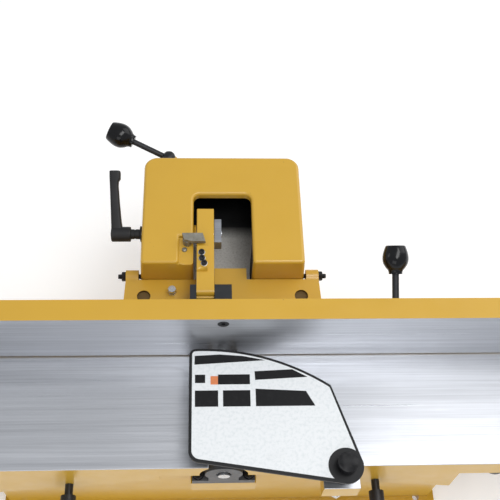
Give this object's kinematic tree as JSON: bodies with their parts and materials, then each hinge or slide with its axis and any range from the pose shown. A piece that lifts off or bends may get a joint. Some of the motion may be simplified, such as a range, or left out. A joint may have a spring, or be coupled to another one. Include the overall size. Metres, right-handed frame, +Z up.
{
  "type": "jointer head",
  "caption": "Long-bed surface planer (jointer) head: two sliding tables, cutterhead, swing guard, and a tilting fence on a sliding carriage with link arm, clamps and stops.",
  "frame": {"origin": "centre of the base's four bolt holes, on its underside, below the cutterhead", "axes": "+X to the infeed end along the tables, +Y to the back where the fence carriage is, +Z up"},
  "size_m": [1.676, 0.5874, 0.4057],
  "materials": {
    "yellow_paint": "gloss",
    "machined_iron": "ground",
    "gib_steel": "satin",
    "bright_steel": "zinc plated",
    "tool_steel": "ground",
    "cast_grey": "satin",
    "bronze": "satin",
    "black_oxide": "satin",
    "black_plastic": "gloss",
    "guard_black": "satin",
    "label_white": "matte"
  },
  "bodies": {
    "base": {"base_casting": "yellow_paint", "leadscrew_nuts": "bronze", "bearing_blocks": "cast_grey", "ball_bearings": "tool_steel", "bearing_bolts": "black_oxide", "slide_support": "yellow_paint", "support_bolts": "black_oxide"},
    "infeed_table": {"infeed_table": "machined_iron", "infeed_gib": "gib_steel", "guard_spring": "bright_steel"},
    "guard_hub": {"guard_post": "bright_steel", "guard_knob": "black_plastic"},
    "outfeed_table": {"outfeed_table": "machined_iron", "outfeed_gib": "gib_steel"},
    "infeed_wheel": {"infeed_screw": "bright_steel", "infeed_handwheel": "cast_grey", "handwheel_grip_in": "black_plastic"},
    "outfeed_wheel": {"outfeed_screw": "bright_steel", "outfeed_handwheel": "cast_grey", "handwheel_grip_out": "black_plastic"},
    "infeed_lock": {"infeed_lock": "black_oxide"},
    "outfeed_lock": {"outfeed_lock": "black_oxide"},
    "cutterhead": {"cutterhead_body": "bright_steel", "knives": "tool_steel", "knife_gibs": "tool_steel", "gib_screws": "black_oxide", "drive_pulley": "cast_grey"},
    "guard": {"guard_plate": "guard_black", "guard_label": "label_white"},
    "carriage": {"carriage": "yellow_paint", "slide_key": "bright_steel", "pivot_bracket": "yellow_paint", "pivot_screws": "black_oxide", "jam_nuts": "black_oxide", "tilt_stop_bolt": "bright_steel", "ledge_screw": "black_oxide", "clamp_washer": "bright_steel", "clamp_block": "bright_steel", "lock_plate": "gib_steel"},
    "fence": {"fence": "yellow_paint", "fence_lug": "gib_steel", "lug_screw": "black_oxide", "arm_pin": "bright_steel", "hinge_pins": "bright_steel", "fence_rod": "black_oxide", "fence_knob": "black_plastic"},
    "link_arm": {"link_arm": "yellow_paint", "stop_screws": "black_oxide", "stop_washers": "bright_steel"},
    "flip_stop": {"flip_stop": "bright_steel"},
    "clamp_screw": {"clamp_shaft": "bright_steel"},
    "clamp_handle": {"clamp_handle": "black_plastic"},
    "slide_lever": {"lock_stud": "bright_steel", "lever_hub": "black_oxide", "lever_rod": "black_oxide", "lever_knob": "black_plastic"}
  },
  "joints": [
    {"name": "infeed_slide", "type": "slide", "parent": "base", "child": "infeed_table", "axis": [0.9781, 0, -0.2079], "range_m": [0, 0.06]},
    {"name": "outfeed_slide", "type": "slide", "parent": "base", "child": "outfeed_table", "axis": [-0.9781, 0, -0.2079], "range_m": [0, 0.06]},
    {"name": "infeed_wheel_turn", "type": "hinge", "parent": "infeed_table", "child": "infeed_wheel", "pos_m": [0.44577, 0, 0.08257], "axis": [0.9781, 0, -0.2079], "range_deg": [0, 4320]},
    {"name": "outfeed_wheel_turn", "type": "hinge", "parent": "outfeed_table", "child": "outfeed_wheel", "pos_m": [-0.44577, 0, 0.08257], "axis": [-0.9781, 0, -0.2079], "range_deg": [0, 4320]},
    {"name": "infeed_lock_turn", "type": "hinge", "parent": "infeed_table", "child": "infeed_lock", "pos_m": [0.22422, -0.1, 0.17055], "axis": [0, 1, 0], "range_deg": [-50, 0]},
    {"name": "outfeed_lock_turn", "type": "hinge", "parent": "outfeed_table", "child": "outfeed_lock", "pos_m": [-0.22422, -0.1, 0.17055], "axis": [0, 1, 0], "range_deg": [0, 50]},
    {"name": "cutterhead_spin", "type": "hinge", "parent": "base", "child": "cutterhead", "pos_m": [0, 0, 0.208], "axis": [0, 1, 0], "continuous": true},
    {"name": "guard_push", "type": "hinge", "parent": "infeed_table", "child": "guard_hub", "pos_m": [0.165, -0.108, 0.26], "axis": [0, 0, 1], "range_deg": [0, 58]},
    {"name": "guard_swing", "type": "hinge", "parent": "guard_hub", "child": "guard", "pos_m": [0.165, -0.108, 0.26], "axis": [0, 0, 1], "range_deg": [0, 70], "stiffness_Nm_per_rad": 0.6, "springref_deg": -34.38},
    {"name": "fence_slide", "type": "slide", "parent": "base", "child": "carriage", "axis": [0, -1, 0], "range_m": [0, 0.115]},
    {"name": "fence_tilt", "type": "hinge", "parent": "carriage", "child": "fence", "pos_m": [0, 0.088, 0.282], "axis": [1, 0, 0], "range_deg": [-45, 45]},
    {"name": "arm_swing", "type": "hinge", "parent": "fence", "child": "link_arm", "pos_m": [-0.0261, 0.134, 0.3], "axis": [1, 0, 0], "range_deg": [-61, 61]},
    {"name": "flip_stop_turn", "type": "hinge", "parent": "carriage", "child": "flip_stop", "pos_m": [-0.053, 0.2165, 0.346], "axis": [0, 0, 1], "range_deg": [0, 100]},
    {"name": "tilt_clamp_turn", "type": "hinge", "parent": "carriage", "child": "clamp_screw", "pos_m": [-0.13, 0.241, 0.32], "axis": [1, 0, 0], "range_deg": [-35, 80]},
    {"name": "clamp_handle_pull", "type": "slide", "parent": "clamp_screw", "child": "clamp_handle", "axis": [-1, 0, 0], "range_m": [0, 0.005], "stiffness_N_per_m": 900, "springref_m": -0.004},
    {"name": "slide_lock_turn", "type": "hinge", "parent": "carriage", "child": "slide_lever", "pos_m": [-0.085, 0.394, 0.3], "axis": [0, 0, 1], "range_deg": [-65, 15]}
  ],
  "couplings": [
    {"joint": "infeed_wheel_turn", "follows": "infeed_slide", "rad_per_m": 1256.6},
    {"joint": "outfeed_wheel_turn", "follows": "outfeed_slide", "rad_per_m": 1256.6},
    {"joint": "arm_swing", "follows": "fence_tilt", "ratio": -1.34},
    {"joint": "guard_push", "follows": "fence_slide", "rad_per_m": 8.7266}
  ]
}
